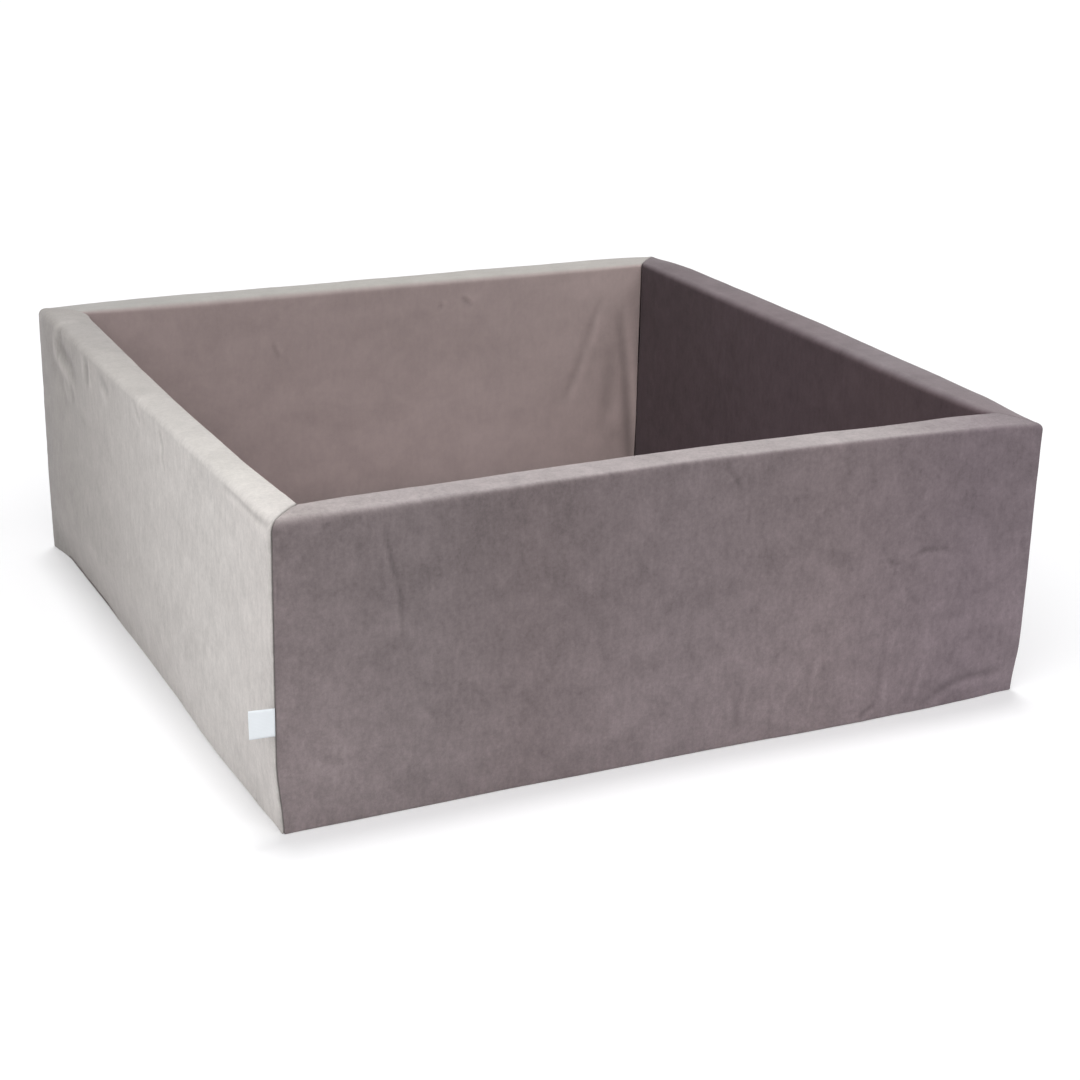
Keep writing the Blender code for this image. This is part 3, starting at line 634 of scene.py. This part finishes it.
INNER_CREASES = {
    "front": (),
    "right": (),
    "back": (
        (((-0.456, 0.320), (-0.468, 0.240), (-0.478, 0.150), (-0.488, 0.060), (-0.489, 0.020)),
         0.009, 0.0018),
        (((-0.446, 0.260), (-0.440, 0.180), (-0.430, 0.100)), 0.014, 0.0009),
        (((-0.400, 0.300), (-0.376, 0.220), (-0.350, 0.160)), 0.008, 0.0008),
        (((-0.420, 0.345), (-0.404, 0.300), (-0.396, 0.250)), 0.007, 0.0006),
        (((-0.150, 0.368), (-0.160, 0.360), (-0.171, 0.350)), 0.004, 0.0011),
        (((-0.110, 0.360), (-0.116, 0.352)), 0.004, 0.0010),
        (((0.186, 0.318), (0.180, 0.305), (0.173, 0.292)), 0.004, 0.0010),
    ),
    "left": (),
}


FULL_ROLL = 0.0028          # roll of a seam whose dark stitch line and painted groove shade are at full strength


def make_wall(quarter, side, lean, first, first_roll, last, last_roll):
    """One wall's velvet, up the outer face, over the rim, down inside and turned under at both edges."""
    half = PIT / 2
    grid, seams = base_wall(quarter, side, half, lean, first, last)
    normal = normals_of(grid)
    count = grid.shape[1]
    outward = normal[len(grid) // 2, HALF_COUNT // 2]
    if outward[1] > 0:
        normal = -normal
    x, z = grid[..., 0], grid[..., 2]
    index = np.arange(count)
    # From 0 where the strip is inside the sleeve to 1 where it shows
    shown = np.clip((index - HIDDEN - 5) / 4, 0, 1) * np.clip((count - 1 - HIDDEN - 5 - index) / 4, 0, 1)
    path = np.broadcast_to(strip_path(grid), x.shape)
    inset, stitch_and_shade = np.zeros_like(x), np.zeros_like(x)
    seed = 11.0 * quarter
    for sign, roll, away in ((1, first_roll, seams[0]), (-1, last_roll, seams[1])):
        rolled = roll - np.sqrt(np.maximum(roll ** 2 - np.maximum(roll - away, 0.0) ** 2, 0.0))
        inset += rolled * shown
        # A dark stitch line and painted shade across the rolled edge beside it, stronger the deeper the roll
        line = 0.6 * np.exp(-(away / 0.0014) ** 2) + 0.4 * np.exp(-away / 0.0035)
        stitch_and_shade += line * min(roll / FULL_ROLL, 1.0)
        # Gathers across the seam, which are gone 3 cm away from it
        gather = ripple(np.stack((path * 75, away * 22, np.full_like(x, seed + sign)), axis=-1), 1.0, 0.0)
        strength = 0.36 * roll * np.exp(-away / 0.014) * smooth(away, 0.0, 0.002)
        inset += gather * strength * shown
    # Slow waves, dents and fine unevenness: height, how many a metre, and a shift of the noise
    for height, scale, shift in ((0.0011, 6.0, 0.0), (0.0005, 19.0, 3.1), (0.00016, (60.0, 60.0, 44.0), 5.7)):
        inset += height * ripple(grid, scale, seed + shift) * shown
    faces = index < count // 2
    outer, outer_valley = creased(x, z, CREASES[side]) * (faces & (index > HIDDEN + 8))
    inner, inner_valley = creased(x, z, INNER_CREASES[side]) * (~faces & (index < count - HIDDEN - 9))
    inset += outer + inner
    surface = grid - normal * inset[..., None]
    surface[..., 2] = np.maximum(surface[..., 2], 0.0)
    # The sewn edges, turned in
    turned = []
    for row in (0, -1):
        into = -normal[row] * shown[:, None]
        turned.append([surface[row] + into * tuck for tuck in TUCKS])
    surface = np.concatenate([np.array(turned[0]), surface, np.array(turned[1][::-1])])
    mesh = lofted("velvet_" + side, surface, sharp=50)
    along, inside, rim, strip = zones(grid, half)
    # How much painted shade (valleys) or painted highlight (ridges) the wrinkles put on the colour
    crease_shade = outer_valley + inner_valley
    fields = {"along": along, "inside": inside, "rim": rim, "crease_shade": crease_shade, "seam": stitch_and_shade, "strip": strip}
    for name, values in fields.items():
        kind, key = ("FLOAT_VECTOR", "vector") if name == "strip" else ("FLOAT", "value")
        values = np.concatenate([values[:1]] * len(TUCKS) + [values] + [values[-1:]] * len(TUCKS))
        mesh.attributes.new(name, kind, "POINT").data.foreach_set(key, values.astype(np.float32).ravel())
    drop_flat_faces(mesh)
    piece = add_piece("velvet_" + side, mesh, VELVET[side], BEHIND_ZIP)
    for polygon in mesh.polygons:
        over_zip = FOAM_FLOOR - 1e-4 < polygon.center.z < GROOVE_TOP + 1e-4
        if over_zip and abs(polygon.normal.z) > 0.9:
            polygon.material_index = 1
    mesh.transform(Matrix.Rotation(math.radians(90) * quarter, 4, "Z") @ Matrix.Translation((0, -half, 0)))
    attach(piece, "ring")
    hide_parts("cover_" + side, "foam_" + side)


for number, wall in enumerate(WALLS):
    make_wall(number, *wall)


# The zips

def add_teeth(bm, start, end, inward, pitch):
    """A row of coil turns along a straight run. inward points from the tape to the chain's middle."""
    low, high = CHAIN_Z - COIL_HALF, CHAIN_Z + COIL_HALF
    depth = COIL_WIDTH - CHAIN_HALF
    run = Vector(end) - Vector(start)
    count = int(run.length / pitch)
    along = run.normalized()
    inward = Vector(inward)
    for i in range(count):
        middle = Vector(start) + along * (i + 0.5) * run.length / count
        rings = []
        for reach, squeeze in ((0.0, 0.7), (depth * 0.25, 1.0), (depth, 0.9)):
            ring = []
            for k in range(6):
                a = math.radians(60 * k)
                offset = along * (pitch * 0.40 * squeeze * math.cos(a))
                rise = (high + low) / 2 + (high - low) / 2 * squeeze * math.sin(a)
                spot = middle + offset - inward * reach
                ring.append(bm.verts.new((spot.x, spot.y, rise)))
            rings.append(ring)
        for a, b in zip(rings, rings[1:]):
            for k in range(6):
                m = (k + 1) % 6
                bm.faces.new((a[k], a[m], b[m], b[k]))
        bm.faces.new(rings[0])
        bm.faces.new(rings[-1])


def add_stringer(name, tape_mesh, teeth, body, node):
    """Half of a zip: its tape, with the coil as its child."""
    tape = add_piece(name, tape_mesh, TAPE)
    coil = add_piece(name + "_coil", end_mesh(name + "_coil", teeth), NYLON)
    coil.parent = tape
    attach(tape, body)
    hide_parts(node)


def ring_zip(name, side, node):
    """Half of the ring's zip, from the tagged corner all the way round, its tape mitred at the corners."""
    half = (PIT - WALL) / 2
    begin = ZIP_START - PIT / 2

    def corner_spots(offset):
        reach = half + side * offset
        return ((begin, -reach), (reach, -reach), (reach, reach), (-reach, reach), (-reach, begin))

    section = [(offset, TAPE_LOW) for offset in (TAPE_START, TAPE_WIDTH)]
    section += [(offset, TAPE_HIGH) for offset in (TAPE_WIDTH, TAPE_START)]
    loops = []
    for corner in range(5):
        loops.append([(*corner_spots(offset)[corner], height) for offset, height in section])
    teeth = bmesh.new()
    mids = corner_spots(CHAIN_HALF)
    inwards = ((0, side, 0), (-side, 0, 0), (0, -side, 0), (side, 0, 0))
    for a, b, inward in zip(mids, mids[1:], inwards):
        start, end = Vector((*a, 0)), Vector((*b, 0))
        gap = (end - start).normalized() * 0.003
        add_teeth(teeth, start + gap, end - gap, inward, pitch=0.0033)
    add_stringer(name, lofted(name, np.array(loops)), teeth, "ring", node)


def mat_zip(name, side, node):
    """Half of the mat's zip."""
    inner, outer = sorted((side * TAPE_START, side * TAPE_WIDTH))
    size = Vector((2 * MAT_ZIP_HALF, outer - inner, TAPE_HIGH - TAPE_LOW))
    centre = Vector((0, MAT_ZIP_Y + (outer + inner) / 2, (TAPE_HIGH + TAPE_LOW) / 2))
    teeth = bmesh.new()
    y = MAT_ZIP_Y + side * CHAIN_HALF
    add_teeth(teeth, (-MAT_ZIP_HALF, y, 0), (MAT_ZIP_HALF, y, 0), (0, -side, 0), pitch=0.0025)
    add_stringer(name, box_mesh(name, centre, size), teeth, "mat", node)


ring_zip("ring_zip_outer", 1, "wall_zip_outer")
ring_zip("ring_zip_inner", -1, "wall_zip_inner")
mat_zip("floor_zip_front", -1, "mat_zip_front")
mat_zip("floor_zip_back", 1, "mat_zip_back")
for node in ("wall_zip_slider", "wall_zip_pull", "mat_zip_slider", "mat_zip_pull"):
    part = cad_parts[node]
    part.data.materials.clear()
    part.data.materials.append(METAL)
    bevel = part.modifiers.new("rounded_edges", "BEVEL")
    bevel.width = 0.00012
    bevel.segments = 2
    bevel.limit_method = "ANGLE"


# The floor mat

def mat_edge(inset):
    """The mat's edge in plan, `inset` inside its velvet."""
    per_side, per_corner = 34, 8
    reach_out = PIT / 2 - WALL - MAT_CLEAR
    straight = reach_out - MAT_CORNER
    radius = MAT_CORNER - inset
    points = []
    for quarter, draw in enumerate(MAT_DRAW):
        a = math.radians(90) * quarter
        turn = np.array(((math.cos(a), -math.sin(a)), (math.sin(a), math.cos(a))))
        share = np.linspace(-1, 1, per_side)
        pull = draw * (1 - share ** 2) ** 2
        side = np.column_stack((share * straight, inset + pull - reach_out))
        bend = np.array(arc((straight, -straight), (radius, radius), -90, 0, per_corner)[1:-1])
        points.append(np.concatenate([side, bend]) @ turn.T)
    return np.concatenate(points)


def open_channel(mesh):
    """Opens the cushion's underside over the zip: a channel for the tapes, with a groove for the slider."""
    bm = bmesh.new()
    bm.from_mesh(mesh)
    bottom = max(bm.faces, key=lambda face: (len(face.verts), -face.calc_center_median().z))
    height, rims = bottom.calc_center_median().z, bottom.edges[:]
    bmesh.ops.delete(bm, geom=[bottom], context="FACES_ONLY")
    spare = 0.0003
    wide, groove = (MAT_ZIP_HALF + SLOT / 2 + spare, TAPE_WIDTH + spare), (MAT_ZIP_HALF, GROOVE / 2)
    levels = ((wide, height), (wide, FOAM_FLOOR), (groove, FOAM_FLOOR), (groove, GROOVE_TOP))
    rings = []
    for (x, y), z in levels:
        corners = ((-x, -y), (x, -y), (x, y), (-x, y))
        rings.append([bm.verts.new((a, MAT_ZIP_Y + b, z)) for a, b in corners])
    shown = [bm.faces.new(rings[-1])]
    for low, high in zip(rings, rings[1:]):
        for i in range(4):
            k = (i + 1) % 4
            shown.append(bm.faces.new((low[i], low[k], high[k], high[i])))
    first = rings[0]
    rims += [bm.edges.get((first[i], first[(i + 1) % 4])) for i in range(4)]
    filled = bmesh.ops.triangle_fill(bm, edges=rims, use_beauty=True)["geom"]
    shown += [part for part in filled if isinstance(part, bmesh.types.BMFace)]
    for face in shown:
        face.material_index = 1
        face.smooth = False
    bmesh.ops.recalc_face_normals(bm, faces=bm.faces)
    bm.to_mesh(mesh)
    bm.free()


def make_mat():
    """The velvet cushion: a border, a seam round the top and a crowned face with a little quilting pull."""
    rows = []

    def ring(inset, height, share=1.0):
        outline = mat_edge(inset) * share
        rows.append(np.column_stack((outline, np.full(len(outline), height))))

    seam = MAT_EDGE
    ring(0.004, LINING + 0.0002)
    ring(0.0016, LINING + 0.0002)
    ring(0.0006, LINING + 0.0010)
    for share in np.linspace(0.08, 0.92, 9):
        ring(0.0002 * (1 - 2 * share) ** 2, LINING + (seam - 0.0008 - LINING) * share)
    ring(0.0008, seam - 0.0010)
    ring(0.0022, seam - 0.0003)
    ring(0.0026, seam + 0.0002)
    ring(0.0022, seam + 0.0007)
    ring(0.0009, seam + 0.0014)
    top_low = seam + 0.0020
    crown = ((1.0, 0.0), (0.9965, 0.16), (0.988, 0.36), (0.975, 0.48), (0.96, 0.56))
    for share, rise in crown:
        ring(0.0004, top_low + MAT_CROWN * rise, share)
    inward = np.linspace(0.94, 0.03, 46)
    for share in inward:
        rise = 0.58 + 0.42 * (1 - share ** 2.2)
        ring(0.0004, top_low + MAT_CROWN * rise, share)
    grid = np.array(rows)
    # The top waves a little, and puckers along its seam
    on_top = grid[..., 2] > seam + 0.0012
    wave = 0.0012 * ripple(grid, (7.0, 7.0, 1.0), 31.0) + 0.0005 * ripple(grid, (24.0, 24.0, 1.0), 37.0)
    edge = np.max(np.abs(grid[..., :2]), axis=2)
    from_edge = PIT / 2 - WALL - edge
    length = np.stack((grid[..., 0] * 42, grid[..., 1] * 42, from_edge * 12), axis=-1)
    pucker = 0.0012 * ripple(length, 1.0, 41.0) * np.exp(-from_edge / 0.022) * smooth(from_edge, 0.001, 0.006)
    grid[..., 2] += np.where(on_top, wave * smooth(from_edge, 0.002, 0.03) + pucker, 0.0)
    mesh = lofted("mat_cushion", grid, sharp=60)
    open_channel(mesh)
    piece = add_piece("mat_cushion", mesh, VELVET["mat"], BEHIND_ZIP)
    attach(piece, "mat")
    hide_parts("mat_top", "mat_border", "mat_foam")


def make_lining():
    """The panel under the mat, with a slot for the zip and a hem on each side of it."""
    outline = mat_edge(0.0012)
    bm = bmesh.new()
    slot = [(x * MAT_ZIP_HALF, y * SLOT / 2 + MAT_ZIP_Y) for x, y in ((-1, -1), (1, -1), (1, 1), (-1, 1))]
    rims = []
    for loop in (outline, slot):
        verts = [bm.verts.new((x, y, 0.0)) for x, y in loop]
        rims += [bm.edges.new((verts[i], verts[(i + 1) % len(verts)])) for i in range(len(verts))]
    bmesh.ops.triangle_fill(bm, edges=rims, use_beauty=True)
    # Thickened face by face: Blender's own extrusion gives the sides in another order on each run
    upper = {vert: bm.verts.new((vert.co.x, vert.co.y, LINING)) for vert in bm.verts[:]}
    for face in bm.faces[:]:
        bm.faces.new([upper[vert] for vert in face.verts])
    for edge in rims:
        first, last = edge.verts
        bm.faces.new((last, first, upper[first], upper[last]))
    base = add_piece("mat_lining", end_mesh("mat_lining", bm), LINING_CLOTH)
    spare = 0.0002
    for side, name in ((-1, "mat_hem_front"), (1, "mat_hem_back")):
        low, high = sorted((side * SLOT / 2, side * TAPE_WIDTH))
        size = Vector((2 * MAT_ZIP_HALF + SLOT, high - low - spare, HEM - LINING - spare))
        centre = Vector((0, MAT_ZIP_Y + (low + high) / 2, (HEM + LINING) / 2))
        hem = add_piece(name, box_mesh("hem", centre, size), LINING_CLOTH)
        hem.parent = base
    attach(base, "mat")
    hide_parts("mat_base")


make_mat()
make_lining()


# The tag

def make_tag():
    """A bare satin tag, folded double, standing out of the near corner's seam."""
    seam = -PIT / 2 + 0.0013
    width, low, tall = 0.031, 0.1315, 0.036
    gap, thick = 0.0004, 0.00022
    across, up = 12, 14         # steps from the seam to the fold, and up the tag
    middle = gap / 2 + thick / 2
    profile = [(seam - width * step / across, -middle) for step in range(across + 1)]
    bend = arc((seam - width, 0.0), (middle, middle), 270, 90, 6)[1:-1]
    profile += bend + [(x, -y) for x, y in reversed(profile)]
    rows = []
    for step in range(up + 1):
        share = step / up
        row = []
        for x, y in profile:
            out = (seam - x) / width
            curl = 0.0012 * out ** 2 * math.sin(2.4 * (share - 0.35)) + 0.0036 * out
            spread = 1.0 + 1.6 * math.sin(math.pi * min(out, 1.0)) * (0.4 + 0.6 * share)
            row.append((x, seam - 0.0008 + y * spread + curl, low + tall * share - 0.0006 * out))
        rows.append(row)
    bm = bmesh.new()
    verts = [[bm.verts.new(point) for point in row] for row in rows]
    for a, b in zip(verts, verts[1:]):
        for i in range(len(a) - 1):
            bm.faces.new((a[i], a[i + 1], b[i + 1], b[i]))
    piece = add_piece("satin_tag", end_mesh("satin_tag", bm, 180), SATIN)
    shell = piece.modifiers.new("cloth", "SOLIDIFY")
    shell.thickness = thick
    shell.offset = 0.0
    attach(piece, "ring")
    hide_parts("sewn_tag")


make_tag()


# Camera, floor and light

def make_camera():
    """The camera that was fitted to the photograph: its turn, its place and its focal length in pixels."""
    focal, frame_width, sensor = 2154.6, 1080, 36.0
    azimuth, elevation, roll = (math.radians(a) for a in (-26.328, 19.881, 1.372))
    level = Vector((math.sin(azimuth), -math.cos(azimuth), 0.0))
    back = level * math.cos(elevation) + Vector((0.0, 0.0, math.sin(elevation)))
    right = Vector((math.cos(azimuth), math.sin(azimuth), 0.0))
    up = back.cross(right)
    turned_right = math.cos(roll) * right + math.sin(roll) * up
    turned_up = -math.sin(roll) * right + math.cos(roll) * up
    data = bpy.data.cameras.new("camera")
    data.sensor_fit = "HORIZONTAL"
    data.sensor_width = sensor
    data.lens = focal / frame_width * sensor
    camera = bpy.data.objects.new("camera", data)
    turned = Matrix((turned_right, turned_up, back)).transposed().to_4x4()
    camera.matrix_world = Matrix.Translation((-1.2982, -2.7556, 1.2208)) @ turned
    bpy.context.scene.collection.objects.link(camera)
    bpy.context.scene.camera = camera


def seen_directly(tree):
    """A factor of 1 for rays from the camera or by way of metal and glass, and 0 for the light's own."""
    path = tree.nodes.new("ShaderNodeLightPath")
    total = path.outputs["Is Camera Ray"]
    for name in ("Is Glossy Ray", "Is Transmission Ray"):
        either = tree.nodes.new("ShaderNodeMath")
        either.operation = "MAXIMUM"
        tree.links.new(total, either.inputs[0])
        tree.links.new(path.outputs[name], either.inputs[1])
        total = either.outputs[0]
    return total


FLOOR_GLOW = 0.13           # what the camera sees beyond the floor's own light, so that open floor is white
FLOOR_DROP = 0.0004         # how far the floor lies under the part


def make_floor():
    bm = bmesh.new()
    bmesh.ops.create_grid(bm, x_segments=1, y_segments=1, size=30.0)
    mesh = bpy.data.meshes.new("floor")
    bm.to_mesh(mesh)
    bm.free()
    floor = bpy.data.objects.new("floor", mesh)
    floor.location.z = -FLOOR_DROP
    bpy.context.scene.collection.objects.link(floor)
    g = Graph("pale_floor")
    seen = seen_directly(g.tree)
    g.values(Base_Color=(0.84, 0.84, 0.85, 1.0), Roughness=0.9, Specular_IOR_Level=0.0)
    strength = g.math("MULTIPLY", seen, FLOOR_GLOW)
    glow = g.add("Emission", {"Color": (1.0, 1.0, 1.0, 1.0), "Strength": strength})
    both = g.add("AddShader", {0: g.shader.outputs[0], 1: glow.outputs[0]})
    g.set(g.out.inputs["Surface"], both.outputs[0])
    mesh.materials.append(g.material)


def make_light():
    """White surroundings, dimmer for the light that falls on the object, and three soft lamps."""
    world = bpy.data.worlds.new("studio")
    world.use_nodes = True
    bpy.context.scene.world = world
    tree = world.node_tree
    background = tree.nodes["Background"]
    background.inputs["Color"].default_value = (1.0, 1.0, 1.0, 1.0)
    level = tree.nodes.new("ShaderNodeMapRange")
    tree.links.new(seen_directly(tree), level.inputs["Value"])
    level.inputs["To Min"].default_value = 0.33
    level.inputs["To Max"].default_value = 1.0
    tree.links.new(level.outputs[0], background.inputs["Strength"])
    lamps = (
        ("key", (-0.62, -0.42, 0.75), 1.0, 50.0),
        ("front", (0.05, -0.75, 0.70), 1.0, 60.0),
        ("top", (0.050, 0.130, 1.0), 1.1, 10.0),
    )
    for name, side, strength, spread in lamps:
        data = bpy.data.lights.new(name, "SUN")
        data.energy = strength
        data.angle = math.radians(spread)
        lamp = bpy.data.objects.new(name, data)
        lamp.rotation_euler = Vector(side).to_track_quat("Z", "Y").to_euler()
        bpy.context.scene.collection.objects.link(lamp)


make_camera()
make_floor()
make_light()
bpy.context.scene.view_settings.view_transform = "Standard"
